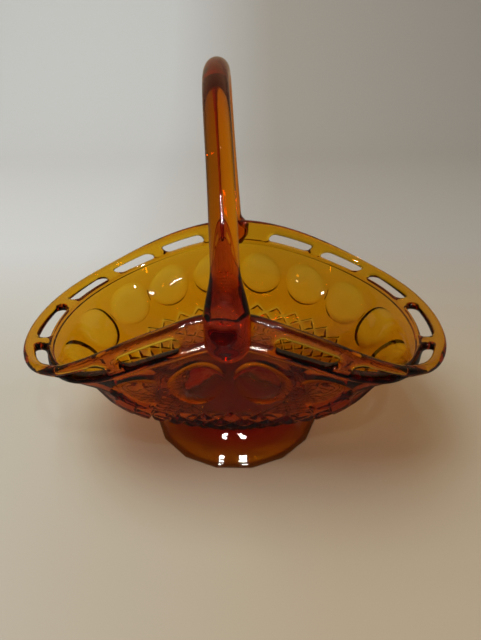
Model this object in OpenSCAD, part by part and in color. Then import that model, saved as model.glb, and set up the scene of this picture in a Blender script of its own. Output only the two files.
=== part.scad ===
// Pressed glass basket in amber: a boat-shaped bowl with thumbprints, diamond points
// and a slotted rim, on a panelled foot, with one arched handle fused to the rim.
// Millimetres, +Z up. The origin is the middle of the foot, on the table.
// The bowl is long along X, and the handle stands over it in the plane x = 0.

/* [Rim] */
// Length of the rim, between the middles of its glass
rim_length = 269; // [240:1:300]
// Width of the rim at the handle, between the middles of its glass
rim_width = 131; // [116:1:154]
// How far the rim is drawn in at each end of the handle
rim_pinch = 3; // [0:0.1:5]
// How far the rim is drawn up at each end of the handle
rim_pull = 1.5; // [0:0.1:3]
// Height of the rim's edge line at the handle
rim_side_z = 121.4; // [105:0.1:140]
// Height of the rim's edge line at the two ends
rim_end_z = 77.8; // [68:0.1:92]
// Thickness of the glass in the rim band
rim_wall = 6; // [4.5:0.1:7]

/* [Rim slots] */
// Height of a slot across the rim band
slot_height = 7.4; // [5:0.1:9]
// Glass left between two neighbouring slots
slot_bridge = 10; // [6:0.1:14]
// Distance from the middle of the ledge up to the middle of the slots
slot_rise = 5.9; // [5:0.1:7]
// Height of the raised ledge under the slots
ledge_height = 4; // [3:0.1:6]
// How far the ledge stands out
ledge_proud = 1.2; // [0.6:0.1:2]

/* [Bowl] */
// Panels, thumbprints and rim spaces round the bowl
columns = 16; // [12:4:16]
// Radius of the bowl's glass where it leaves the foot
neck_radius = 39.5; // [34:0.5:44]
// Height of the middle of the glass at the neck
neck_z = 26.2; // [24:0.1:32]
// Thickness of the glass at the neck
neck_wall = 7.5; // [6:0.1:9]
// Height of the top of the bowl's floor in its middle
floor_z = 28.4; // [27:0.1:33]

/* [Thumbprints] */
// Diameter of a thumbprint
thumb_d = 33; // [24:0.5:36]
// Depth of a thumbprint in its middle
thumb_depth = 4.2; // [2:0.1:5]
// Thickness of the glass round the thumbprints
thumb_wall = 7.5; // [6:0.1:9]

/* [Diamond points] */
// Rows of diamond points below the thumbprints
diamond_rows = 7; // [4:1:7]
// Diamond points to each thumbprint, side by side
diamonds_per_thumb = 2; // [1:1:3]
// Distance from the middle of the thumbprints down to the tips of the top row
diamond_drop = 26.5; // [24:0.5:30]
// Height of the points of the top row
diamond_relief = 2.4; // [1:0.1:3]

/* [Foot] */
// Foot across its corners
foot_across = 120; // [104:1:140]
// Height of the slanted band round the edge of the foot
foot_edge_z = 6.6; // [4:0.1:9]
// How far that band leans in, from its bottom to its top
foot_edge_in = 5.5; // [3:0.1:8]
// Width of the ring that stands on the table
foot_ring = 5; // [3.5:0.1:7]
// Height of the hollow under the foot
foot_hollow_z = 12; // [8:0.5:22]

/* [Handle] */
// Height of the top of the handle
handle_top_z = 237; // [200:1:260]
// Height of the lowest point of the handle's pads
handle_base_z = 101; // [96:0.5:106]
// Distance from the middle of the rim's glass out to the middle of a leg
handle_offset = 11.3; // [9:0.1:13]
// Diameter of the handle over its arch
handle_d = 13; // [10:0.1:16]
// Diameter of a leg just above its pad
leg_d = 14.6; // [11:0.1:18]
// How far the whole handle sits to the left of the rim's middle
handle_shift = 0.7; // [0:0.1:3]
// How far its top leans on to the left from there
handle_lean = 4; // [0:0.1:8]
// How far the pads are set off from each other, the back one to the left
pad_skew = 1.4; // [0:0.1:3]
// Width of a pad
pad_width = 24; // [18:0.5:30]
// How far a pad stands out from the middle of its leg
pad_proud = 8.5; // [7:0.1:11]
// Height of a pad, up to where it starts to narrow into the leg
pad_height = 26; // [20:1:40]
// Height over which a pad narrows into the leg
pad_blend = 14; // [8:1:24]

/* [Hidden] */
amber = [0.72, 0.36, 0.05];

// Fineness of the mesh
turns = 64;
thumb_points = 16;
handle_points = 16;
handle_rings = 32;
foot_points = 32;
edge_rings = 4;

// The wall as levels from the neck to the rim. Each level is given by how far it is on its way
// from the neck (0) to the rim (1) in length, in width, in height at the handle and in height at
// the ends, and then by how full its curve is towards the ends and towards the sides.
LEVELS = [
    [0.00, 0.00, 0.00, 0.00, 0.000, 0.00],
    [0.19, 0.42, 0.07, 0.06, 0.000, 0.00],
    [0.43, 0.77, 0.26, 0.24, 0.000, -0.07],
    [0.67, 0.85, 0.60, 0.62, -0.015, -0.11],
    [0.855, 1.02, 0.85, 0.96, -0.050, -0.17],
    [1.00, 1.00, 1.00, 1.00, -0.030, -0.18],
];
THUMB = 3;
LEDGE = 4;
RIM = 5;
// How much the rim's sweep flattens where it is highest and lowest, as a share of that sweep
sweep_flatness = 0.08;
// How far round from the handle the rim is drawn in and up, in degrees
pinch_turn = 18;

column_turn = 360 / columns;
// How far pieces reach into each other, and cutters past what they cut
overlap = 3;
// How far the tips of the diamond points lie below the wall's outer face
diamond_sink = 0.15;
// Extra glass on the wall under the diamond band, so that the band's cut takes all of its face
diamond_spare = 0.6;
// Distance from the neck up to the lowest tips of the diamond band
diamond_end = 2;
// How much the foot's flare is hollowed, as a share of its width
foot_curve = 0.12;
// How far the inner face of the foot's ring leans in
foot_lean = 3.5;
// Roundness of the handle's arch: 2 is an ellipse, and more is squarer
arch_power = 2.2;
// How late the front leg starts to lean, and how early the back leg does
lean_late = 4;
lean_early = 2;
// How far a pad reaches into the glass of the rim, past its middle
pad_bite = 0.5;

// One point of a level, at an angle from the handle round towards the +X end
function level_point(level, turn) =
    let (
        half_x = neck_radius + level[0] * (rim_length / 2 - neck_radius),
        half_y = neck_radius + level[1] * (rim_width / 2 + rim_pinch - neck_radius),
        side_z = neck_z + level[2] * (rim_side_z - neck_z),
        end_z = neck_z + level[3] * (rim_end_z - neck_z),
        x1 = half_x / (1 - level[4]),
        y1 = half_y / (1 + level[5]),
        sweep = side_z - end_z,
        off_handle = min(1, abs(sin(turn)) / sin(pinch_turn)),
        pinch = (1 - off_handle ^ 2) ^ 2 * level[2] ^ 3
    )
    [
        x1 * (sin(turn) + level[4] * sin(3 * turn)),
        y1 * (cos(turn) + level[5] * cos(3 * turn)) - sign(cos(turn)) * rim_pinch * pinch,
        (side_z + end_z) / 2 + sweep * (cos(2 * turn) / 2 + sweep_flatness * (cos(4 * turn) - 1))
        + rim_pull * pinch,
    ];

// The points of all levels at one angle
function spine(turn) = [for (level = LEVELS) level_point(level, turn)];

// Distance up the wall from the neck to each level, as the mean round the bowl
function level_gap(i) =
    let (gaps = [for (turn = [0, 45, 90]) norm(spine(turn)[i + 1] - spine(turn)[i])])
    (gaps[0] + gaps[1] + gaps[2]) / 3;
function distance_to(i) = i == 0 ? 0 : distance_to(i - 1) + level_gap(i - 1);
UP = [for (i = [0 : RIM]) distance_to(i)];

function slope(pts, i) =
    i == 0 ? (pts[1] - pts[0]) / (UP[1] - UP[0])
    : i == RIM ? (pts[RIM] - pts[RIM - 1]) / (UP[RIM] - UP[RIM - 1])
    : let (below = UP[i] - UP[i - 1], above = UP[i + 1] - UP[i])
        ((pts[i] - pts[i - 1]) / below * above + (pts[i + 1] - pts[i]) / above * below) / (below + above);

function segment(up, i = 0) = i == RIM - 1 || up < UP[i + 1] ? i : segment(up, i + 1);

// Smooth curve through a spine's points, at a distance up the wall
function on_spine(pts, up) =
    let (i = segment(up), gap = UP[i + 1] - UP[i], s = (up - UP[i]) / gap)
    (2 * s ^ 3 - 3 * s ^ 2 + 1) * pts[i] + (s ^ 3 - 2 * s ^ 2 + s) * gap * slope(pts, i)
    + (3 * s ^ 2 - 2 * s ^ 3) * pts[i + 1] + (s ^ 3 - s ^ 2) * gap * slope(pts, i + 1);

function wall_mid(turn, up) = on_spine(spine(turn), up);

// Way along the wall for one degree round the bowl
function along_turn(turn, up) = wall_mid(turn + 0.5, up) - wall_mid(turn - 0.5, up);

// Way straight up the wall, over a short step that ends at the rim at most
function along_up(turn, up) =
    let (step = 0.1, low = min(up, UP[RIM] - step))
    wall_mid(turn, low + step) - wall_mid(turn, low);

function unit(v) = v / norm(v);

// Direction straight out of the bowl's outer face
function outward(turn, up) = unit(cross(along_up(turn, up), along_turn(turn, up)));

// Thickness of the glass, from the neck past the thumbprints to the ledge
function wall_at(up) = lookup(up, [[0, neck_wall], [UP[THUMB], thumb_wall], [UP[LEDGE], rim_wall]]);

// A point on the outer face (side 1) or the inner face (side -1), raised from it by lift
function face_point(turn, up, side, lift = 0) =
    wall_mid(turn, up) + outward(turn, up) * side * (wall_at(up) / 2 + lift);

// Solid through a stack of rings with equal numbers of points, closed flat at both ends
module loft(rings) {
    n = len(rings[0]);
    last = len(rings) - 1;
    polyhedron(
        points = [for (ring = rings) each ring],
        faces = concat(
            [[for (i = [n - 1 : -1 : 0]) i]],
            [for (r = [0 : last - 1], i = [0 : n - 1]) let (j = (i + 1) % n)
                [r * n + i, r * n + j, (r + 1) * n + j, (r + 1) * n + i]],
            [[for (i = [0 : n - 1]) last * n + i]]
        ),
        convexity = 10
    );
}

function wall_ring(up, side, lift = 0) =
    [for (i = [0 : turns - 1]) face_point(i * 360 / turns, up, side, lift)];

// Ring round the rounded edge of the rim, from its outer face (0) over the top to its inner face (180)
function edge_ring(angle) =
    [for (i = [0 : turns - 1]) let (turn = i * 360 / turns)
        wall_mid(turn, UP[RIM]) + rim_wall / 2 * (outward(turn, UP[RIM]) * cos(angle)
        + unit(along_up(turn, UP[RIM])) * sin(angle))];

// Ring on the floor inside the bowl, as a share of the way out from the middle
function floor_ring(share) =
    [for (p = wall_ring(0, -1)) [p[0] * share, p[1] * share, floor_z + (p[2] - floor_z) * share ^ 2]];

function round_ring(r, z) =
    [for (i = [0 : turns - 1]) [r * sin(i * 360 / turns), r * cos(i * 360 / turns), z]];

// Bowl wall with its ledge, rounded rim and floor, smooth on both faces
module bowl_wall() {
    band_top = UP[THUMB] - diamond_drop;
    thumb_rows = [for (s = [-0.6, 0, 0.6]) UP[THUMB] + s * thumb_d];
    loft(concat(
        [round_ring(neck_radius * 0.6, neck_z - neck_wall / 2), wall_ring(0, 1)],
        [for (share = [0.2, 0.5, 0.8]) wall_ring(share * band_top, 1, diamond_spare)],
        [wall_ring(band_top + diamond_spare, 1)],
        [for (up = thumb_rows) wall_ring(up, 1)],
        [for (s = [-1, -0.5, 0.5, 1])
            wall_ring(UP[LEDGE] + s * ledge_height / 2, 1, ledge_proud * (1 - s * s))],
        [for (i = [0 : edge_rings]) edge_ring(i * 180 / edge_rings)],
        [for (share = [1, 0.82, 0.6, 0.4, 0.22, 0.09, 0]) wall_ring(share * UP[LEDGE], -1)],
        [for (share = [0.7, 0.35]) floor_ring(share)]
    ));
}

// Round pin through the rim band, one stop on a slot's way
module slot_pin(turn) {
    up = UP[LEDGE] + slot_rise;
    z_axis = outward(turn, up);
    x_axis = unit(along_turn(turn, up));
    y_axis = cross(z_axis, x_axis);
    p = wall_mid(turn, up);
    multmatrix([for (i = [0 : 2]) [x_axis[i], y_axis[i], z_axis[i], p[i]]])
        cylinder(d = slot_height, h = rim_wall + 2 * overlap, center = true, $fn = 12);
}

// Long slot that follows the rim round, between two bridges
module slot_cutter(column) {
    steps = 2;
    up = UP[LEDGE] + slot_rise;
    middle = column * column_turn;
    pitch = norm(wall_mid(middle + column_turn / 2, up) - wall_mid(middle - column_turn / 2, up));
    reach = column_turn / 2 * (1 - (slot_bridge + slot_height) / pitch);
    for (i = [0 : steps - 1])
        hull() {
            slot_pin(middle + reach * (2 * i / steps - 1));
            slot_pin(middle + reach * (2 * (i + 1) / steps - 1));
        }
}

// The rim is solid under each end of the handle
module slot_cutters() {
    for (column = [0 : columns - 1])
        if (column % (columns / 2) != 0)
            slot_cutter(column);
}

// Ring round a thumbprint's middle, lifted from the outer face
function thumb_ring(turn, share, lift) =
    let (
        r = share * thumb_d / 2,
        per_turn = norm(along_turn(turn, UP[THUMB]))
    )
    [for (i = [0 : thumb_points - 1]) let (a = -i * 360 / thumb_points)
        face_point(turn + r * cos(a) / per_turn, UP[THUMB] + r * sin(a), 1, lift)];

// Bowl-shaped cut, deepest in its middle, that runs out through the outer face at its edge
module thumb_cutter(turn) {
    bed = [1.12, 0.75, 0.4, 0.05];
    loft(concat(
        [thumb_ring(turn, 0.05, overlap), thumb_ring(turn, bed[0], overlap)],
        [for (share = bed) thumb_ring(turn, share, thumb_depth * (share ^ 2 - 1))]
    ));
}

module thumb_cutters() {
    for (column = [0 : columns - 1])
        thumb_cutter((column + 0.5) * column_turn);
}

// Cut that leaves a band of diamond points. Its lines lie closer together towards the neck, and
// each line's corners stand half a diamond on from those of the line above.
module diamond_cutter() {
    n = columns * diamonds_per_thumb;
    lines = diamond_rows + 2;
    shrink = 0.6 ^ (1 / (lines - 1));
    top = UP[THUMB] - diamond_drop;
    first_gap = (top - diamond_end) * (1 - shrink) / (1 - shrink ^ (lines - 1));
    corners = lines * n;
    tips = 2 * corners;
    diamonds = [for (line = [1 : diamond_rows], i = [0 : n - 1]) [line, i]];

    function line_up(line) = top - first_gap * (1 - shrink ^ line) / (1 - shrink);
    function half_step(line) = line % 2;
    function point(line, halves, lift) = face_point(-halves * 180 / n, line_up(line), 1, lift);
    function corner(line, i, lift) = point(line, 2 * i + half_step(line), lift);
    function tip(line, i) = point(line, 2 * i + half_step(line) + 1, -diamond_sink);

    // The corners of diamond i on a line: two on the line itself, one above and one below
    function before(line, i) = line * n + i;
    function after(line, i) = line * n + (i + 1) % n;
    function above(line, i) = (line - 1) * n + (i + half_step(line)) % n;
    function below(line, i) = (line + 1) * n + (i + half_step(line)) % n;
    function ring(line, i) = [before(line, i), above(line, i), after(line, i), below(line, i)];
    // Face between an edge of the cut's bed and the same edge of its outer skin
    function side(a, b) = [a, b, b + corners, a + corners];

    polyhedron(
        points = concat(
            [for (line = [0 : lines - 1], i = [0 : n - 1])
                corner(line, i, -diamond_sink - diamond_relief * shrink ^ line)],
            [for (line = [0 : lines - 1], i = [0 : n - 1]) corner(line, i, overlap)],
            [for (d = diamonds) tip(d[0], d[1])]
        ),
        faces = concat(
            [for (d = diamonds) let (r = ring(d[0], d[1]), t = tips + (d[0] - 1) * n + d[1])
                each concat(
                    [for (k = [0 : 3]) [r[(k + 1) % 4], r[k], t]],
                    [[for (c = r) c + corners]]
                )],
            [for (i = [0 : n - 1]) each [
                side(before(1, i), above(1, i)),
                side(above(1, i), after(1, i)),
                side(below(diamond_rows, i), before(diamond_rows, i)),
                side(after(diamond_rows, i), below(diamond_rows, i))
            ]]
        ),
        convexity = 10
    );
}

function foot_polygon(across, z) =
    [for (i = [0 : columns - 1]) let (a = (i + 0.5) * column_turn)
        [across / 2 * sin(a), across / 2 * cos(a), z]];

// Flared foot with flat panels, hollow underneath
module foot() {
    ring_r = foot_across / 2 * cos(column_turn / 2) - foot_ring;
    edge_across = foot_across - 2 * foot_edge_in;
    neck_across = 2 * neck_radius + overlap;
    top_z = neck_z - 2;
    difference() {
        loft(concat(
            [foot_polygon(foot_across, 0)],
            [for (share = [0, 0.35, 0.7, 1])
                let (way_in = share + foot_curve * sin(180 * share))
                foot_polygon(
                    edge_across + (neck_across - edge_across) * way_in,
                    foot_edge_z + (top_z - foot_edge_z) * share
                )]
        ));
        rotate_extrude($fn = foot_points)
            polygon([
                [0, -overlap],
                [ring_r, -overlap],
                [ring_r, 0],
                [ring_r - foot_lean, foot_edge_z],
                [neck_radius * 0.7, foot_hollow_z],
                [0, foot_hollow_z]
            ]);
    }
}

// Handle's centre line: a rounded arch between the two pads
leg_y = rim_width / 2 + handle_offset;
function arch_point(a) =
    let (
        out = sign(cos(a)) * abs(cos(a)) ^ (2 / arch_power),
        up = sin(a) ^ (2 / arch_power),
        lean = out < 0 ? up ^ lean_late : 1 - (1 - up) ^ lean_early,
        rise = handle_top_z - handle_d / 2 - handle_base_z
    )
    [-handle_shift - pad_skew * out - handle_lean * lean, leg_y * out, handle_base_z + rise * up];

function smooth_step(from, to, v) =
    let (s = min(1, max(0, (v - from) / (to - from))))
    s * s * (3 - 2 * s);

// Rounding of a free end: 0 at the tip and 1 from reach on
function end_round(v, reach) = v >= reach ? 1 : sqrt(1 - (1 - v / reach) ^ 2);

// One section of the handle, across the arch: pad at the bottom, then leg. The pad's inner half
// is deeper than its outer half, and reaches into the rim.
function handle_ring(a) =
    let (
        p = arch_point(a),
        along = unit(arch_point(min(180, a + 0.05)) - arch_point(max(0, a - 0.05))),
        inward = unit(cross([1, 0, 0], along)),
        side = cross(along, inward),
        height = p[2] - handle_base_z,
        leg = smooth_step(pad_height, pad_height + pad_blend, height),
        arch = smooth_step(pad_height, (handle_top_z - handle_base_z) * 0.75, height),
        leg_r = (leg_d + (handle_d - leg_d) * arch) / 2,
        tip = height + 0.2,
        reach = [for (r = [pad_width / 2, handle_offset + pad_bite, pad_proud])
            (r + (leg_r - r) * leg) * end_round(tip, min(r, pad_width / 2))]
    )
    [for (i = [0 : handle_points - 1]) let (q = i * 360 / handle_points)
        p + side * reach[0] * cos(q) + inward * (sin(q) > 0 ? reach[1] : reach[2]) * sin(q)];

// Rings lie closer together towards the pads
module handle() {
    half = handle_rings / 2;
    rise = [for (i = [0 : half]) 90 * (i / half) ^ 1.8];
    loft(concat(
        [for (a = rise) handle_ring(a)],
        [for (i = [half - 1 : -1 : 0]) handle_ring(180 - rise[i])]
    ));
}

module basket() {
    color(amber)
        union() {
            difference() {
                bowl_wall();
                slot_cutters();
                thumb_cutters();
                diamond_cutter();
            }
            foot();
            handle();
        }
}

basket();
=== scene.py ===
"""Pressed glass basket in amber: its glass, the light on it and the camera.

Lengths are in millimetres until a mesh is made, and +Z is up. The bowl is long along X, and the
handle stands over it. The wall of the bowl is drawn flat first, as a slab with its thumbprints,
diamond points, ledge and slots, and is then wrapped on to the swept wall of the bowl.
"""
import math

import bmesh
import bpy
import numpy as np
from mathutils import Matrix, Vector


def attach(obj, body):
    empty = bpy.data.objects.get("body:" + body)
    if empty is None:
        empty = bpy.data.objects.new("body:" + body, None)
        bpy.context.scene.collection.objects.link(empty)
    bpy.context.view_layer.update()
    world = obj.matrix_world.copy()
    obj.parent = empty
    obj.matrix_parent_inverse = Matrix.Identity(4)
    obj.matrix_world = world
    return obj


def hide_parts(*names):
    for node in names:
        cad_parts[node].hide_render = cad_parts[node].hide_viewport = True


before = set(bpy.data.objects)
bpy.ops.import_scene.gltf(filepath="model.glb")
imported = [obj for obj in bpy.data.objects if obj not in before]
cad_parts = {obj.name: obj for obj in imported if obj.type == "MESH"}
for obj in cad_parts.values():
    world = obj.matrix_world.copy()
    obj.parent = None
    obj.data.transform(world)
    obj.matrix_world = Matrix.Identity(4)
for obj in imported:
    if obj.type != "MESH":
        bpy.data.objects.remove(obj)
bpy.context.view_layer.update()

# Rim
RIM_LENGTH = 269
RIM_WIDTH = 131
# The handle draws the rim in and up, as far as this many degrees to each side of it
RIM_PINCH = 3
RIM_PULL = 1.5
PINCH_TURN = 18
RIM_SIDE_Z = 121.4
RIM_END_Z = 77.8
RIM_WALL = 6
SLOT_HEIGHT = 7.4
SLOT_BRIDGE = 10
SLOT_RISE = 5.9
# Width of the fire-polished lip round a slot, and of its lower side above the ledge
SLOT_LIP = 2.9
LOW_LIP = 1.7
LEDGE_HEIGHT = 4
LEDGE_PROUD = 1.2
LEDGE_FULLNESS = 2.4

# Bowl
COLUMNS = 16
NECK_RADIUS = 39.5
NECK_Z = 26.2
NECK_WALL = 7.5
THUMB_WALL = 7.5
FLOOR_Z = 28.4
# Thumbprints: half height of the cell round one, how flat its middle is and how soft its edge,
# and how far the inner face swells behind it
THUMB_R = 16.5
THUMB_CELL = 17.6
THUMB_DEPTH = 2.9
THUMB_FLATNESS = 4
THUMB_SOFTNESS = 0.1
THUMB_SWELL = 1.2
# Diamond points: the band starts a drop below the thumbprints' middles and ends above the neck,
# and its rows shrink on the way down
DIAMOND_ROWS = 7
DIAMOND_DROP = 24.5
DIAMOND_RELIEF = 2.9
DIAMOND_CURVE = 2.2
DIAMOND_SINK = 0.15
DIAMOND_END = 2
DIAMOND_SHRINK = 0.6

# Foot
FOOT_ACROSS = 120
FOOT_EDGE_Z = 6.6
FOOT_EDGE_IN = 5.5
FOOT_RING = 5
FOOT_HOLLOW_Z = 12
FOOT_HOLLOW_R = NECK_RADIUS * 0.7
FOOT_FILLET_Z = 3.4
FOOT_CURVE = 0.12
FOOT_LEAN = 3.5
FOOT_ROUND_FROM = 0.6

# Handle
HANDLE_TOP_Z = 237
HANDLE_BASE_Z = 104
HANDLE_OFFSET = 11.3
HANDLE_D = 13
LEG_D = 14.6
# The arch leans to the left: late on the front leg, and early on the back one
HANDLE_SHIFT = 0.7
HANDLE_LEAN = 4
LEAN_LATE = 4
LEAN_EARLY = 2
PAD_SKEW = 1.4
PAD_WIDTH = 24
PAD_PROUD = 8.3
PAD_BITE = 0.5
# Height of the front and the back pad, and the height over which each narrows into its leg
PAD_HEIGHT = (22, 13)
PAD_BLEND = (30, 9)
ARCH_POWER = 2.2
# Dimple in the front pad
DIMPLE_X = -1.4
DIMPLE_Z = 128.5
DIMPLE_R = 7.5
DIMPLE_DEPTH = 3.6

# Levels of the wall from the neck to the rim: shares of length, width, height at the handle and
# height at the ends, then the fullness towards the ends and towards the sides
LEVELS = np.array([
    [0.00, 0.00, 0.00, 0.00, 0.000, 0.00],
    [0.19, 0.42, 0.07, 0.06, 0.000, 0.00],
    [0.43, 0.77, 0.26, 0.24, 0.000, -0.07],
    [0.67, 0.85, 0.60, 0.62, -0.015, -0.11],
    [0.855, 1.02, 0.85, 0.96, -0.050, -0.17],
    [1.00, 1.00, 1.00, 1.00, -0.030, -0.18],
])
SWEEP_FLATNESS = 0.08
COLUMN_TURN = 360 / COLUMNS

# Fineness of the mesh: steps across a column, across a quarter of a diamond and round the handle,
# rows up the inside of the bowl, rings along half of the handle, and steps over the rim
STEPS = 20
FACET_STEPS = 5
HANDLE_STEPS = 48
INNER_ROWS = 45
HANDLE_RINGS = 84
RIM_STEPS = 12
# Rings of a thumbprint as shares of its radius, closest together at its steep edge
THUMB_RINGS = (1.03, 1.01, 1.0, 0.985, 0.96, 0.92, 0.87, 0.8, 0.7, 0.5, 0.25)
# Rings of the bowl's floor as shares of its radius, and of the foot's flank as shares of its height
FLOOR_RINGS = (1, 0.93, 0.84, 0.74, 0.62, 0.5, 0.36, 0.22, 0.1)
FLANK_RINGS = (0.012, 0.05, 0.12, 0.2, 0.3, 0.42, 0.55, 0.68, 0.8, 0.9, 0.96)


def unit(v):
    """The same directions with a length of one."""
    return v / np.linalg.norm(v, axis=-1, keepdims=True)


def level_points(turn):
    """Points of every level at the given angles from the handle, as levels x angles x 3."""
    t = np.radians(np.asarray(turn, float))[None, :]
    share = LEVELS[:, :, None]
    half_x = NECK_RADIUS + share[:, 0] * (RIM_LENGTH / 2 - NECK_RADIUS)
    half_y = NECK_RADIUS + share[:, 1] * (RIM_WIDTH / 2 + RIM_PINCH - NECK_RADIUS)
    side_z = NECK_Z + share[:, 2] * (RIM_SIDE_Z - NECK_Z)
    end_z = NECK_Z + share[:, 3] * (RIM_END_Z - NECK_Z)
    x = half_x / (1 - share[:, 4]) * (np.sin(t) + share[:, 4] * np.sin(3 * t))
    off_handle = np.minimum(1, np.abs(np.sin(t)) / math.sin(math.radians(PINCH_TURN)))
    pinch = (1 - off_handle**2) ** 2 * share[:, 2] ** 3
    y = (half_y / (1 + share[:, 5]) * (np.cos(t) + share[:, 5] * np.cos(3 * t))
         - np.sign(np.cos(t)) * RIM_PINCH * pinch)
    sweep = np.cos(2 * t) / 2 + SWEEP_FLATNESS * (np.cos(4 * t) - 1)
    z = (side_z + end_z) / 2 + (side_z - end_z) * sweep + RIM_PULL * pinch
    return np.stack([x, y, z], axis=-1)


# Distance up the wall from the neck to each level, as the mean round the bowl
LEVEL_GAPS = np.linalg.norm(np.diff(level_points([0, 45, 90]), axis=0), axis=-1).mean(axis=1)
UP = np.concatenate([[0], np.cumsum(LEVEL_GAPS)])
THUMB_UP, LEDGE_UP, RIM_UP = UP[3], UP[4], UP[5]


def wall_mid(turn, up):
    """Middle of the glass at an angle and a distance up the wall, straight on past both ends."""
    pts = level_points(turn)
    gap = np.diff(UP)
    secant = np.diff(pts, axis=0) / gap[:, None, None]
    slopes = np.concatenate([
        secant[:1],
        (secant[:-1] * gap[1:, None, None] + secant[1:] * gap[:-1, None, None])
        / (gap[1:] + gap[:-1])[:, None, None],
        secant[-1:],
    ])
    inside = np.clip(up, 0, RIM_UP)
    i = np.clip(np.searchsorted(UP, inside, side="right") - 1, 0, len(gap) - 1)
    k = np.arange(len(i))
    g = gap[i][:, None]
    s = ((inside - UP[i]) / gap[i])[:, None]
    p = ((2 * s**3 - 3 * s**2 + 1) * pts[i, k] + (s**3 - 2 * s**2 + s) * g * slopes[i, k]
         + (3 * s**2 - 2 * s**3) * pts[i + 1, k] + (s**3 - s**2) * g * slopes[i + 1, k])
    past = (np.asarray(up) - inside)[:, None]
    return p + past * np.where(past > 0, unit(slopes[-1]), unit(slopes[0]))


def wrap(turn, up, depth):
    """Places flat points on the wall. Depth is measured out from the middle of the glass."""
    turn, up, depth = (np.asarray(v, float) for v in np.broadcast_arrays(turn, up, depth))
    aside, step = 0.25, 0.05
    base = np.clip(up, step, RIM_UP - step)
    round_it = wall_mid(turn + aside, base) - wall_mid(turn - aside, base)
    up_it = wall_mid(turn, base + step) - wall_mid(turn, base - step)
    out = unit(np.cross(up_it, round_it))
    return wall_mid(turn, up) + out * depth[:, None]


def wall_at(up):
    """Thickness of the glass at a distance up the wall."""
    return np.interp(up, [0, THUMB_UP, LEDGE_UP], [NECK_WALL, THUMB_WALL, RIM_WALL])


def ledge_lift(up):
    """Height of the ledge above the outer face."""
    across = (np.asarray(up, float) - LEDGE_UP) / (LEDGE_HEIGHT / 2)
    return LEDGE_PROUD * np.clip(1 - np.abs(across) ** LEDGE_FULLNESS, 0, None)


def thumb_lift(share):
    """Height inside and near a thumbprint: flat in the middle, steep and soft at the edge."""
    bowl = THUMB_DEPTH * (1 - share**THUMB_FLATNESS)
    fade = np.clip((1.06 - share) / 0.04, 0, 1)
    return -0.5 * (bowl + np.sqrt(bowl**2 + THUMB_SOFTNESS**2)) * fade


class Slab:
    """Flat drawing of a piece of wall.

    A point is (share of a column, extra millimetres, distance up, depth).
    """

    def __init__(self):
        self.points = []
        self.faces = []

    def grid(self, rows, closed=False, diagonal=None):
        """Joins rows of points. A diagonal function tells which way to split each cell."""
        rows = np.asarray(rows, float)
        start = sum(len(p) for p in self.points)
        self.points.append(rows.reshape(-1, 4))
        n = rows.shape[1]
        for r in range(rows.shape[0] - 1):
            for c in range(n if closed else n - 1):
                d = (c + 1) % n
                a, b = start + r * n + c, start + r * n + d
                e, f = start + (r + 1) * n + c, start + (r + 1) * n + d
                if diagonal is None:
                    self.faces.append((a, b, f, e))
                elif diagonal(r, c):
                    self.faces += [(a, b, f), (a, f, e)]
                else:
                    self.faces += [(a, b, e), (b, f, e)]

    def close(self, ring, middle):
        """Fills a ring of points with triangles to its middle."""
        start = sum(len(p) for p in self.points)
        self.points.append(np.vstack([ring, [middle]]))
        n = len(ring)
        self.faces += [(start + i, start + (i + 1) % n, start + n) for i in range(n)]

    def mesh(self, name):
        """Mesh of the flat drawing, with its extra millimetres as an attribute."""
        points = np.vstack(self.points)
        mesh = bpy.data.meshes.new(name)
        mesh.from_pydata([(p[0], p[2], p[3]) for p in points], [], self.faces)
        mesh.attributes.new("extra", "FLOAT", "POINT").data.foreach_set("value", points[:, 1])
        return mesh


SHARES = np.linspace(-0.5, 0.5, STEPS + 1)


def plain_rows(ups, depths):
    """Rows of points straight across a column."""
    return [[(s, 0, up, depth) for s in SHARES] for up, depth in zip(ups, depths)]


def diamond_lines():
    """Distances up the wall of the lines that carry the diamonds' corners, from the top down."""
    lines = DIAMOND_ROWS + 2
    shrink = DIAMOND_SHRINK ** (1 / (lines - 1))
    top = THUMB_UP - DIAMOND_DROP
    first = (top - DIAMOND_END) * (1 - shrink) / (1 - shrink ** (lines - 1))
    return [top - first * (1 - shrink**i) / (1 - shrink) for i in range(lines)], shrink


def diamond_rows():
    """Grid over the band of diamond points, and which way each of its cells is split."""
    lines, shrink = diamond_lines()
    last = len(lines) - 1
    n = FACET_STEPS
    quarters = STEPS // n
    rows = []
    for r in range(last * n + 1):
        line = min(r // n, last - 1)
        down = r / n - line
        up = lines[line] + (lines[line + 1] - lines[line]) * down
        row = []
        for c in range(STEPS + 1):
            quarter = min(c // n, quarters - 1)
            across = c / n - quarter
            # The corner of this line is on the left of a quarter where their numbers are both
            # even or both odd, and the tip is then on its right
            u = across if (quarter + line) % 2 == 0 else 1 - across
            v = down
            deep = [DIAMOND_SINK + DIAMOND_RELIEF * shrink ** (line + k) for k in (0, 1)]
            low = deep[0] + (deep[1] - deep[0]) * v
            tip, tip_line = (u - v, line) if u >= v else (v - u, line + 1)
            if tip_line in (0, last):
                lift = -low if tip < 0.5 / n else 0
            else:
                lift = -low * (1 - tip) ** DIAMOND_CURVE - DIAMOND_SINK
            row.append((SHARES[c], 0, up, wall_at(up) / 2 + lift))
        rows.append(row)

    def diagonal(r, c):
        """Whether a cell is split from its first corner, along the edge of a diamond."""
        return (c // n + r // n) % 2 == 0

    return rows, diagonal


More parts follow.
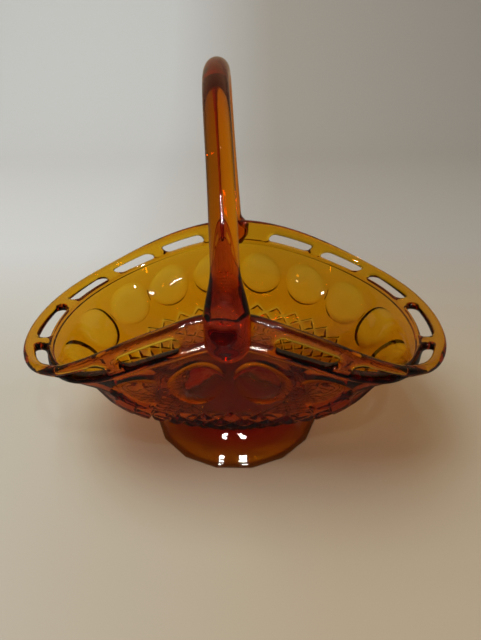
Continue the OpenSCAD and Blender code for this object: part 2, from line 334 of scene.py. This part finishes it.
def thumb_rings():
    """Rings from the edge of a thumbprint's cell in to near its middle."""
    side = np.linspace(-1, 1, STEPS + 1)[:-1]
    square = ([(s, -1) for s in side] + [(1, s) for s in side]
              + [(-s, 1) for s in side] + [(-1, -s) for s in side])
    rings = [[(x / 2, 0, THUMB_UP + y * THUMB_CELL, wall_at(THUMB_UP + y * THUMB_CELL) / 2)
              for x, y in square]]
    for share in THUMB_RINGS:
        ring = []
        for x, y in square:
            a = math.atan2(y, x)
            up = THUMB_UP + THUMB_R * share * math.sin(a)
            ring.append((0, THUMB_R * share * math.cos(a), up, wall_at(up) / 2 + thumb_lift(share)))
        rings.append(ring)
    return rings


def lower_panel():
    """One column of the wall below the crest of the ledge, with a thumbprint in its middle."""
    slab = Slab()
    rows, diagonal = diamond_rows()
    ups = np.array([DIAMOND_END * 0.6, 0])
    slab.grid([rows[-1]] + plain_rows(ups, wall_at(ups) / 2))
    slab.grid(rows, diagonal=diagonal)
    top = rows[0][0][2]
    ups = np.array([THUMB_UP - THUMB_CELL, top + 5, top + 1.5])
    slab.grid(plain_rows(ups, wall_at(ups) / 2) + [rows[0]])
    rings = thumb_rings()
    slab.grid([ring[::-1] for ring in rings], closed=True)
    slab.close(rings[-1][::-1], (0, 0, THUMB_UP, wall_at(THUMB_UP) / 2 - THUMB_DEPTH))
    ups = np.concatenate([
        LEDGE_UP - LEDGE_HEIGHT / 2 * np.array([0, 0.25, 0.5, 0.7, 0.85, 1, 1.2]),
        [THUMB_UP + THUMB_CELL],
    ])
    slab.grid(plain_rows(ups, wall_at(ups) / 2 + ledge_lift(ups)))
    # The inner face swells a little behind the thumbprint
    rows = plain_rows(np.linspace(0, LEDGE_UP, INNER_ROWS), np.zeros(INNER_ROWS))
    for row in rows:
        for i, (share, extra, up, _) in enumerate(row):
            away = math.hypot(share * 2, (up - THUMB_UP) / THUMB_CELL)
            swell = THUMB_SWELL * max(0, 1 - away**2) ** 2
            row[i] = (share, extra, up, -wall_at(up) / 2 - swell)
    slab.grid(rows)
    return slab


# Distances up the rim band where its panels meet, from the crest of the ledge to the rim
BAND_UPS = LEDGE_UP + (RIM_UP - LEDGE_UP) * np.array([0, 0.06, 0.1, 0.145, 0.32, 0.55, 0.78, 1])


def rim_edge(slab):
    """Half round of the rim, from the inner face over to the outer one."""
    turns = np.radians(np.linspace(180, 0, RIM_STEPS + 1))
    r = RIM_WALL / 2
    slab.grid(plain_rows(RIM_UP + r * np.sin(turns), r * np.cos(turns)))


def plain_rim_panel():
    """Rim band without a slot, as under the ends of the handle."""
    slab = Slab()
    rim_edge(slab)
    slab.grid(plain_rows(BAND_UPS[::-1], RIM_WALL / 2 + ledge_lift(BAND_UPS[::-1])))
    slab.grid(plain_rows(BAND_UPS, [-RIM_WALL / 2] * len(BAND_UPS)))
    return slab


def slot_panel():
    """Rim band with a slot through it, whose edges are fire polished."""
    slab = Slab()
    rim_edge(slab)
    middle_up = LEDGE_UP + SLOT_RISE
    side = len(BAND_UPS) - 1
    # Steps of the frame's long sides that face the round ends of the slot
    corner = STEPS // 5
    frame_points = ([(s, 0, LEDGE_UP) for s in SHARES[:-1]]
                    + [(0.5, 0, up) for up in BAND_UPS[:-1]]
                    + [(-s, 0, RIM_UP) for s in SHARES[:-1]]
                    + [(-0.5, 0, up) for up in BAND_UPS[:0:-1]])
    count = len(frame_points)
    bend = corner * 2 + side
    straight = STEPS - 2 * corner
    end_in = SLOT_BRIDGE / 2 + SLOT_HEIGHT / 2

    def outline(grow):
        """Slot's outline, grown by some millimetres, with its points in the order of the frame's."""
        r = SLOT_HEIGHT / 2 + grow
        low_r = SLOT_HEIGHT / 2 + grow * LOW_LIP / SLOT_LIP
        points = []
        for k in range(count):
            j = (k - corner) % count
            if j <= straight:
                s = -0.5 + j / straight
                points.append((s, -2 * s * end_in, middle_up - low_r))
            elif j < straight + bend:
                a = math.radians(-90 + 180 * (j - straight) / bend)
                points.append((0.5, -end_in + r * math.cos(a),
                               middle_up + (r if a > 0 else low_r) * math.sin(a)))
            elif j <= 2 * straight + bend:
                s = 0.5 - (j - straight - bend) / straight
                points.append((s, -2 * s * end_in, middle_up + r))
            else:
                a = math.radians(90 + 180 * (j - 2 * straight - bend) / bend)
                points.append((-0.5, end_in + r * math.cos(a),
                               middle_up + (r if a < math.pi else low_r) * math.sin(a)))
        return np.array(points)

    def depth(points):
        """Depth of the outer face at each point."""
        return RIM_WALL / 2 + ledge_lift(points[:, 2])

    edge = np.array(frame_points)
    hole = outline(SLOT_LIP)
    rings = []
    for share in (0, 0.3, 0.55, 0.75, 0.9, 1):
        ring = edge + (hole - edge) * share
        rings.append((ring, depth(ring), RIM_WALL / 2))
    for a in np.radians([22.5, 45, 67.5, 90]):
        ring = outline(SLOT_LIP * (1 - math.sin(a)))
        drop = SLOT_LIP * (1 - math.cos(a))
        rings.append((ring, depth(hole) - drop, RIM_WALL / 2 - drop))
    outer = [np.column_stack([ring, out]) for ring, out, _ in rings]
    inner = [np.column_stack([ring, np.full(count, -back)]) for ring, _, back in rings]
    slab.grid([ring[::-1] for ring in outer + inner[::-1]], closed=True)
    return slab


def set_stops(ramp, stops):
    """Gives a colour ramp its stops, each a place and a colour."""
    ramp.elements.remove(ramp.elements[1])
    for i, (at, colour) in enumerate(stops):
        stop = ramp.elements.new(at) if i else ramp.elements[0]
        stop.position = at
        stop.color = (*colour, 1)


def add_node(tree, kind, settings, inputs):
    """Adds a node: settings and ramp stops first, then socket values and links.

    A key is a socket's name with _ for a space, or its number, as in i0.
    """
    node = tree.nodes.new(kind)
    for key, value in (settings or {}).items():
        if key == "stops":
            set_stops(node.color_ramp, value)
        else:
            setattr(node, key, value)
    for key, value in inputs.items():
        socket = node.inputs[int(key[1:]) if key[1:].isdigit() else key.replace("_", " ")]
        value = getattr(value, "socket", value)
        if isinstance(value, bpy.types.NodeSocket):
            tree.links.new(value, socket)
        else:
            socket.default_value = value
    return node


def node_input(modifier, name, value):
    """Sets a modifier's input by the identifier of its socket."""
    for item in modifier.node_group.interface.items_tree:
        if item.item_type == "SOCKET" and item.in_out == "INPUT" and item.name == name:
            modifier[item.identifier] = value
            return
    raise KeyError(name)


def columns_tree():
    """Geometry Nodes that set a flat panel once for each column and number the copies."""
    tree = bpy.data.node_groups.new("wall_columns", "GeometryNodeTree")
    sockets = (("Panel", "Geometry"), ("Columns", "Int"), ("First", "Int"), ("Every", "Int"),
               ("Skip", "Bool"), ("Glass", "Material"))
    for name, kind in sockets:
        tree.interface.new_socket(name, in_out="INPUT", socket_type="NodeSocket" + kind)
    tree.interface.new_socket("Wall", in_out="OUTPUT", socket_type="NodeSocketGeometry")

    def add(kind, settings=None, **inputs):
        """Adds a node and gives its first output."""
        return add_node(tree, kind, settings, inputs).outputs[0]

    given = tree.nodes.new("NodeGroupInput").outputs
    line = add("GeometryNodeMeshLine", Count=given["Columns"], Offset=(1, 0, 0))
    index = add("GeometryNodeInputIndex")
    # Columns that are a whole number of steps from the first are the ones kept, or skipped
    past = add("FunctionNodeIntegerMath", {"operation": "MODULO"}, i0=index, i1=given["Every"])
    on_step = add("FunctionNodeCompare", {"data_type": "INT", "operation": "EQUAL"},
                  i2=past, i3=given["First"])
    chosen = add("FunctionNodeBooleanMath", {"operation": "XOR"}, i0=on_step, i1=given["Skip"])
    copies = add("GeometryNodeInstanceOnPoints", Points=line, Selection=chosen,
                 Instance=given["Panel"])
    number = add("ShaderNodeSeparateXYZ", Vector=add("GeometryNodeInputPosition"))
    numbered = add("GeometryNodeStoreNamedAttribute", {"data_type": "FLOAT", "domain": "INSTANCE"},
                   Geometry=copies, Name="column", Value=number)
    real = add("GeometryNodeRealizeInstances", Geometry=numbered)
    painted = add("GeometryNodeSetMaterial", Geometry=real, Material=given["Glass"])
    out = tree.nodes.new("NodeGroupOutput")
    tree.links.new(painted, out.inputs["Wall"])
    return tree


def set_columns(tree, slab, name, every, skip, glass):
    """Flat points and faces of a panel that is repeated round the wall."""
    flat = bpy.data.objects.new(name, slab.mesh(name))
    bpy.context.collection.objects.link(flat)
    modifier = flat.modifiers.new("columns", "NODES")
    modifier.node_group = tree
    for key, value in (("Columns", COLUMNS), ("First", 0), ("Every", every), ("Skip", skip),
                       ("Glass", glass)):
        node_input(modifier, key, value)
    seen = flat.evaluated_get(bpy.context.evaluated_depsgraph_get())
    mesh = bpy.data.meshes.new_from_object(seen)
    count = len(mesh.vertices)
    place = np.empty(count * 3)
    mesh.vertices.foreach_get("co", place)
    values = {}
    for key in ("column", "extra"):
        values[key] = np.empty(count)
        mesh.attributes[key].data.foreach_get("value", values[key])
    faces = [tuple(p.vertices) for p in mesh.polygons]
    bpy.data.objects.remove(flat)
    place = place.reshape(-1, 3)
    column = np.rint(values["column"])
    return column, place[:, 0] - column, values["extra"], place[:, 1], place[:, 2], faces


def wrapped(tree, slab, name, glass, shift=0.0, up=0.0, every=1, skip=False):
    """Repeats a panel round the wall and wraps it. Extra millimetres are true at the height up."""
    column, share, extra, ups, depth, faces = set_columns(tree, slab, name, every, skip, glass)
    middles = (np.arange(COLUMNS) + shift) * COLUMN_TURN
    ends = [wall_mid(middles + side * COLUMN_TURN / 2, np.full(COLUMNS, up)) for side in (-1, 1)]
    pitch = np.linalg.norm(ends[1] - ends[0], axis=1)
    turn = (column + shift + share + extra / pitch[column.astype(int)]) * COLUMN_TURN
    return wrap(turn, ups, depth), faces


def ring_faces(rows, n):
    """Faces between the rings of a stack."""
    faces = []
    for low in range(0, (rows - 1) * n, n):
        high = low + n
        for c in range(n):
            d = (c + 1) % n
            faces.append((low + c, low + d, high + d, high + c))
    return faces


def capped(rows, n, first=True, last=True):
    """Faces of a stack of rings, closed across its first ring, its last one or both."""
    faces = ring_faces(rows, n)
    if first:
        faces.append(tuple(range(n))[::-1])
    if last:
        faces.append(tuple((rows - 1) * n + i for i in range(n)))
    return faces


RING_TURNS = (np.arange(COLUMNS * STEPS) / STEPS + 0.5) * COLUMN_TURN


def floor_points():
    """Rings from the foot of the inner wall in to the middle of the floor."""
    edge = wrap(RING_TURNS, 0, -NECK_WALL / 2)
    rings = []
    for share in FLOOR_RINGS:
        ring = edge * [share, share, 1]
        ring[:, 2] = FLOOR_Z + (edge[:, 2] - FLOOR_Z) * share**2
        rings.append(ring)
    return np.vstack(rings), len(rings)


def turned(r, z):
    """Ring of the foot with a radius, or one radius for each of its points."""
    a = np.radians(RING_TURNS)
    return np.column_stack([r * np.sin(a), r * np.cos(a), np.full(len(a), float(z))])


def panelled(across, z, roundness=0.0):
    """Ring of the foot: flat panels between corners, or rounder towards the neck."""
    # Corners stand at the half columns
    off_corner = np.abs((RING_TURNS / COLUMN_TURN) % 1 - 0.5) * COLUMN_TURN
    half = COLUMN_TURN / 2
    flat = across / 2 * math.cos(math.radians(half)) / np.cos(np.radians(half - off_corner))
    return turned(flat * (1 - roundness) + across / 2 * roundness, z)


def foot_points():
    """Rings from the middle of the hollow under the foot, out round its edge and up to the neck."""
    ring_r = FOOT_ACROSS / 2 * math.cos(math.radians(COLUMN_TURN / 2)) - FOOT_RING
    edge_across = FOOT_ACROSS - 2 * FOOT_EDGE_IN
    neck = wrap(RING_TURNS, 0, NECK_WALL / 2)
    neck_r = np.hypot(neck[:, 0], neck[:, 1]).mean()
    rings = [turned(r, FOOT_HOLLOW_Z) for r in (2, 8, 16, FOOT_HOLLOW_R - 3)]
    rings.append(turned(FOOT_HOLLOW_R + 0.6, FOOT_HOLLOW_Z - 0.9))
    for share in (0.15, 0.4, 0.65, 0.85, 1):
        rings.append(turned(FOOT_HOLLOW_R + (ring_r - FOOT_LEAN - FOOT_HOLLOW_R) * share,
                            FOOT_HOLLOW_Z + (FOOT_FILLET_Z - FOOT_HOLLOW_Z) * share))
    rings += [turned(ring_r - 1.2, 1.2), turned(ring_r - 0.2, 0.3)]
    rings += [turned(ring_r + 0.6, 0), turned((ring_r + FOOT_ACROSS / 2) / 2 - 0.6, 0)]
    rings += [panelled(FOOT_ACROSS - 2, 0), panelled(FOOT_ACROSS - 0.5, 0.25)]
    rings.append(panelled(FOOT_ACROSS, 0.9))
    slant = FOOT_EDGE_IN * 2 / FOOT_EDGE_Z
    rings += [panelled(FOOT_ACROSS - slant * z, z) for z in (2.4, 4.2, FOOT_EDGE_Z - 0.5)]
    top_z = neck[:, 2].mean()
    neck_across = 2 * neck_r
    for share in FLANK_RINGS:
        way_in = share + FOOT_CURVE * math.sin(math.pi * share)
        roundness = max(0, share - FOOT_ROUND_FROM) / (1 - FOOT_ROUND_FROM)
        rings.append(panelled(edge_across + (neck_across - edge_across) * way_in,
                              FOOT_EDGE_Z + (top_z - FOOT_EDGE_Z) * share, roundness))
    rings.append(neck)
    return np.vstack(rings), len(rings)


def smooth_step(low, high, v):
    """Goes from 0 to 1 between two values, and eases in and out."""
    s = np.clip((v - low) / (high - low), 0, 1)
    return s * s * (3 - 2 * s)


def arch_points(a):
    """Handle's centre line, from the pad at +Y (0 degrees) over the top to the pad at -Y (180)."""
    a = np.radians(a)
    out = np.sign(np.cos(a)) * np.abs(np.cos(a)) ** (2 / ARCH_POWER)
    up = np.clip(np.sin(a), 0, 1) ** (2 / ARCH_POWER)
    rise = HANDLE_TOP_Z - HANDLE_D / 2 - HANDLE_BASE_Z
    leg_y = RIM_WIDTH / 2 + HANDLE_OFFSET
    lean = np.where(out < 0, up**LEAN_LATE, 1 - (1 - up) ** LEAN_EARLY)
    return np.column_stack([-HANDLE_SHIFT - PAD_SKEW * out - HANDLE_LEAN * lean, leg_y * out,
                            HANDLE_BASE_Z + rise * up])


def handle_points():
    """Rings along the handle from the back pad to the front one, closest together at the pads."""
    half = 90 * np.linspace(0.02, 1, HANDLE_RINGS) ** 1.8
    stops = np.concatenate([half, 180 - half[-2::-1]])
    p = arch_points(stops)
    step = 0.05
    along = unit(arch_points(np.minimum(180, stops + step)) - arch_points(np.maximum(0, stops - step)))
    inward = unit(np.cross([1, 0, 0], along))
    side = np.cross(along, inward)
    height = p[:, 2] - HANDLE_BASE_Z
    front = p[:, 1] < 0
    full = np.where(front, *PAD_HEIGHT)
    blend = np.where(front, *PAD_BLEND)
    leg = smooth_step(full, full + blend, height)
    over = smooth_step(full, (HANDLE_TOP_Z - HANDLE_BASE_Z) * 0.75, height)
    leg_r = (LEG_D + (HANDLE_D - LEG_D) * over) / 2

    def radius(pad_r):
        """Radius of each ring in one direction, from rounded pad to leg."""
        left = np.clip(1 - (height + 0.2) / min(pad_r, PAD_WIDTH / 2), 0, 1)
        return ((pad_r + (leg_r - pad_r) * leg) * np.sqrt(1 - left**2))[:, None]

    q = np.linspace(0, 2 * np.pi, HANDLE_STEPS, endpoint=False)
    deep = np.where(np.sin(q) > 0, radius(HANDLE_OFFSET + PAD_BITE), radius(PAD_PROUD))
    rings = (p[:, None] + side[:, None] * (radius(PAD_WIDTH / 2) * np.cos(q))[..., None]
             + inward[:, None] * (deep * np.sin(q))[..., None])
    points = rings.reshape(-1, 3)
    # Dimple where the front pad was pressed home
    away = np.hypot(points[:, 0] - DIMPLE_X, points[:, 2] - DIMPLE_Z) / DIMPLE_R
    outer = points[:, 1] < -RIM_WIDTH / 2 - HANDLE_OFFSET
    points[:, 1] += outer * DIMPLE_DEPTH * np.exp(-away**4)
    return points, len(stops)


def solid(name, parts, glass):
    """One closed mesh, in metres, from lists of points and faces that meet edge to edge."""
    points, faces = [], []
    for part_points, part_faces in parts:
        start = sum(len(p) for p in points)
        points.append(part_points)
        faces += [tuple(i + start for i in face) for face in part_faces]
    mesh = bpy.data.meshes.new(name)
    mesh.from_pydata((np.vstack(points) / 1000).tolist(), [], faces)
    shape = bmesh.new()
    shape.from_mesh(mesh)
    bmesh.ops.remove_doubles(shape, verts=shape.verts, dist=2e-6)
    bmesh.ops.recalc_face_normals(shape, faces=shape.faces)
    shape.to_mesh(mesh)
    shape.free()
    mesh.materials.append(glass)
    piece = bpy.data.objects.new(name, mesh)
    bpy.context.collection.objects.link(piece)
    return piece


class Socket:
    """Wraps a shader socket so that maths on it reads as maths."""

    def __init__(self, paint, socket):
        self.paint, self.socket = paint, socket

    def maths(self, operation, a, b):
        return self.paint.node("ShaderNodeMath", {"operation": operation}, i0=a, i1=b)

    def __add__(self, other):
        return self.maths("ADD", self, other)

    def __mul__(self, other):
        return self.maths("MULTIPLY", self, other)

    def __rsub__(self, other):
        return self.maths("SUBTRACT", other, self)

    __radd__, __rmul__ = __add__, __mul__


class Paint:
    """The nodes of a material or of the room."""

    def __init__(self, owner):
        owner.use_nodes = True
        self.tree = owner.node_tree
        self.tree.nodes.clear()

    def node(self, kind, settings=None, output=0, **inputs):
        """Adds a node, as add_node does, and gives one of its outputs."""
        return Socket(self, add_node(self.tree, kind, settings, inputs).outputs[output])

    def blend(self, share, first, second):
        """Mix of two colours, each of them a socket or three numbers."""
        first, second = (c if isinstance(c, Socket) else (*c, 1) for c in (first, second))
        return self.node("ShaderNodeMix", {"data_type": "RGBA"}, output=2,
                         i0=share, i6=first, i7=second)

    def fade(self, value, start, end, least=0.0):
        """Goes up to 1 as the value goes from start to end."""
        return self.node("ShaderNodeMapRange", Value=value, From_Min=start, From_Max=end,
                         To_Min=least)

    def axes(self, coordinates):
        """Position or direction, as a vector and as its X, Y and Z."""
        place = self.node("ShaderNodeTexCoord", output=coordinates)
        return place, *(self.node("ShaderNodeSeparateXYZ", output=axis, Vector=place)
                        for axis in "XYZ")

    def ray_is(self, kind):
        """1 for one kind of ray, and 0 for the others."""
        return self.node("ShaderNodeLightPath", output=f"Is {kind} Ray")

    def mirrored(self):
        """1 where something is seen mirrored in the glass, and not through it."""
        return self.ray_is("Glossy") * (1 - self.ray_is("Transmission"))

    def finish(self, kind, **inputs):
        """Adds the output node."""
        add_node(self.tree, kind, None, inputs)


def amber_glass():
    """Clear glass with the amber in its volume, so that thick parts are darker and redder."""
    material = bpy.data.materials.new("amber_glass")
    paint = Paint(material)
    place, _, _, height = paint.axes("Object")
    waves = paint.node("ShaderNodeTexNoise", Vector=place, Scale=38.0, Detail=2.0, Roughness=0.45)
    ripple = paint.node("ShaderNodeTexNoise", Vector=place, Scale=210.0, Detail=1.0, Roughness=0.4)
    bump = paint.node("ShaderNodeBump", Strength=0.06, Distance=0.003, Height=waves + ripple * 0.12)
    glass = paint.node("ShaderNodeBsdfGlass", Color=(1, 1, 1, 1), Roughness=0.0, IOR=1.52,
                       Normal=bump)
    # Light falls through the thin bowl more freely than through the thick foot
    dark = paint.node("ShaderNodeBsdfTransparent", Color=(0.55, 0.36, 0.20, 1))
    clear = paint.node("ShaderNodeBsdfTransparent", Color=(0.70, 0.66, 0.58, 1))
    thin = paint.fade(height, 0.022, 0.034)
    lit = paint.node("ShaderNodeMixShader", i0=thin, i1=dark, i2=clear)
    surface = paint.node("ShaderNodeMixShader", i0=paint.ray_is("Shadow"), i1=glass, i2=lit)
    tint = paint.node("ShaderNodeVolumeAbsorption", Color=(0.957, 0.827, 0.125, 1), Density=800.0)
    paint.finish("ShaderNodeOutputMaterial", Surface=surface, Volume=tint)
    return material


def matt(name, left, right, mirrored, painted_wall_sheen, roughness):
    """Plain paint with painted shade that darkens it from left to right, and painted reflections,
    darker, in what the glass mirrors of it.

    Left and right are two colours each, of the floor and of the backdrop, and the right ones are
    darker with painted shade.
    """
    material = bpy.data.materials.new(name)
    paint = Paint(material)
    place, across, behind, _ = paint.axes("Object")
    grain = paint.node("ShaderNodeTexNoise", Vector=place, Scale=900.0, Detail=2.0)
    bump = paint.node("ShaderNodeBump", Strength=0.05, Distance=0.0004, Height=grain)
    rise = paint.fade(behind, 0.02, 0.3)
    # Painted shade: the floor and the backdrop are darker and browner towards the right
    shade = paint.blend(paint.fade(across, -0.2, 0.06),
                        paint.blend(rise, *left), paint.blend(rise, *right))
    # Painted shade: the camera's side of the floor is darker in every ray but the camera's own, so
    # only the glass shows it
    near = paint.fade(behind, -0.2, -0.5) * (1 - paint.ray_is("Camera"))
    shade = paint.blend(near, shade, mirrored)
    # Painted reflection: the glass mirrors the floor as dark, and the far backdrop as a warm painted
    # sheen
    in_glass = paint.blend(paint.fade(behind, 0.5, 1.0), mirrored, painted_wall_sheen)
    shade = paint.blend(paint.mirrored(), shade, in_glass)
    surface = paint.node("ShaderNodeBsdfPrincipled", Base_Color=shade, Roughness=roughness,
                         Normal=bump)
    paint.finish("ShaderNodeOutputMaterial", Surface=surface)
    return material


glass = amber_glass()

# The wall, repeated round and wrapped, with the foot and the floor that meet it edge to edge
tree = columns_tree()
floor_at, floor_rows = floor_points()
foot_at, foot_rows = foot_points()
around = COLUMNS * STEPS
bowl = solid("bowl_and_foot", [
    wrapped(tree, lower_panel(), "lower_panel", glass, shift=0.5, up=THUMB_UP),
    wrapped(tree, slot_panel(), "slot_panel", glass, up=LEDGE_UP + SLOT_RISE,
            every=COLUMNS // 2, skip=True),
    wrapped(tree, plain_rim_panel(), "plain_rim_panel", glass, up=LEDGE_UP, every=COLUMNS // 2),
    (floor_at, capped(floor_rows, around, first=False)),
    (foot_at, capped(foot_rows, around, last=False)),
], glass)
handle_at, handle_rows = handle_points()
handle = solid("handle", [(handle_at, capped(handle_rows, HANDLE_STEPS))], glass)

# Fuse the handle to the bowl
fuse = bowl.modifiers.new("fuse", "BOOLEAN")
fuse.operation = "UNION"
fuse.solver = "MANIFOLD"
fuse.object = handle
seen = bowl.evaluated_get(bpy.context.evaluated_depsgraph_get())
whole = bpy.data.meshes.new_from_object(seen)
whole.materials.clear()
whole.materials.append(glass)
basket = bpy.data.objects.new("glass_basket", whole)
bpy.context.collection.objects.link(basket)
bpy.data.objects.remove(bowl)
bpy.data.objects.remove(handle)
whole.polygons.foreach_set("material_index", [0] * len(whole.polygons))
whole.shade_smooth()

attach(basket, "root")
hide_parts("basket")

# Floor with a backdrop that bends up behind it
# The right colours carry painted shade, and the two mirrored colours are painted reflections seen only
# in the glass
floor_paint = matt("pale_floor", left=((0.46, 0.43, 0.36), (0.59, 0.60, 0.59)),
                   right=((0.43, 0.35, 0.245), (0.41, 0.38, 0.335)), mirrored=(0.10, 0.09, 0.075),
                   painted_wall_sheen=(0.33, 0.25, 0.16), roughness=0.6)
bend_y, bend_r = 0.75, 0.6
sweep = [(-3.0, 0.0)]
sweep += [(bend_y + bend_r * math.sin(a), bend_r - bend_r * math.cos(a))
          for a in np.linspace(0, math.pi / 2, 25)]
sweep.append((bend_y + bend_r, 0.9))
stage_mesh = bpy.data.meshes.new("floor")
stage_mesh.from_pydata([(x, y, z) for y, z in sweep for x in (-4, 4)], [],
                       [(2 * i, 2 * i + 1, 2 * i + 3, 2 * i + 2) for i in range(len(sweep) - 1)])
stage_mesh.materials.append(floor_paint)
stage_mesh.shade_smooth()
floor = bpy.data.objects.new("floor", stage_mesh)
bpy.context.collection.objects.link(floor)

scene = bpy.context.scene
scene.view_settings.view_transform = "Standard"


def room():
    """Pale walls low all round and a dark room above them, which gives the glass its dark outlines."""
    world = bpy.data.worlds.new("room")
    paint = Paint(world)
    _, _, behind, height = paint.axes("Generated")
    stops = [(at, (grey, grey * 0.99, grey * 0.96))
             for at, grey in ((0.0, 0.50), (0.10, 0.45), (0.22, 0.12), (1.0, 0.08))]
    walls = paint.node("ShaderNodeValToRGB", {"stops": stops}, Fac=height)
    # The room is darker on the camera's side
    through_glass = paint.blend(paint.fade(behind, 0.1, 0.6, least=0.25), (0, 0, 0), walls)
    sheen = paint.blend(paint.fade(behind, -0.1, 0.6), (0.04, 0.04, 0.04), (0.38, 0.25, 0.14))
    in_glass = paint.blend(paint.mirrored(), through_glass, sheen)
    seen = paint.blend(paint.ray_is("Camera"), in_glass, (0.52, 0.51, 0.49))
    background = paint.node("ShaderNodeBackground", Color=seen)
    paint.finish("ShaderNodeOutputWorld", Surface=background)
    return world


def lamp(name, place, target, size, watts, colour, seen_in_glass=True):
    """Square-edged area lamp that faces its target."""
    light = bpy.data.lights.new(name, "AREA")
    light.shape = "RECTANGLE"
    light.size, light.size_y = size
    light.energy = watts
    light.color = colour
    body = bpy.data.objects.new(name, light)
    way = Vector(target) - Vector(place)
    body.matrix_world = Matrix.Translation(place) @ way.to_track_quat("-Z", "Y").to_matrix().to_4x4()
    body.visible_glossy = body.visible_transmission = seen_in_glass
    bpy.context.collection.objects.link(body)


scene.world = room()
# Narrow panes of a window on the camera's side, which the glass shows as small highlights
for across in (-0.195, -0.05):
    for high in (0.94, 1.26):
        lamp("window_pane", (across, -1.95, high), target=(0, 0, 0.15), size=(0.045, 0.25),
             watts=3.4, colour=(1, 0.99, 0.97))
lamp("bulb", (0.45, -0.9, 1.7), target=(0, 0, 0.1), size=(0.06, 0.06), watts=2.5,
     colour=(1, 0.96, 0.9))
lamp("ceiling", (-0.7, 0.0, 1.8), target=(0, 0.15, 0), size=(1.3, 1.2), watts=36.5,
     colour=(1, 0.985, 0.96), seen_in_glass=False)

# Camera, fitted to the photo
CAMERA_PLACE = (0.01523, -0.27561, 0.25481)
YAW, PITCH, ROLL = (math.radians(a) for a in (-2.238, 32.44, -1.381))
ahead = Vector((math.sin(YAW) * math.cos(PITCH), math.cos(YAW) * math.cos(PITCH), -math.sin(PITCH)))
right = Vector((math.cos(YAW), -math.sin(YAW), 0))
above = right.cross(ahead)
right, above = (right * math.cos(ROLL) + above * math.sin(ROLL),
                above * math.cos(ROLL) - right * math.sin(ROLL))
lens = bpy.data.cameras.new("camera")
lens.sensor_fit = "HORIZONTAL"
lens.sensor_width = 36
lens.lens = 36
lens.clip_start = 0.01
camera = bpy.data.objects.new("camera", lens)
camera.matrix_world = Matrix((right, above, -ahead)).transposed().to_4x4()
camera.matrix_world.translation = CAMERA_PLACE
bpy.context.collection.objects.link(camera)
scene.camera = camera
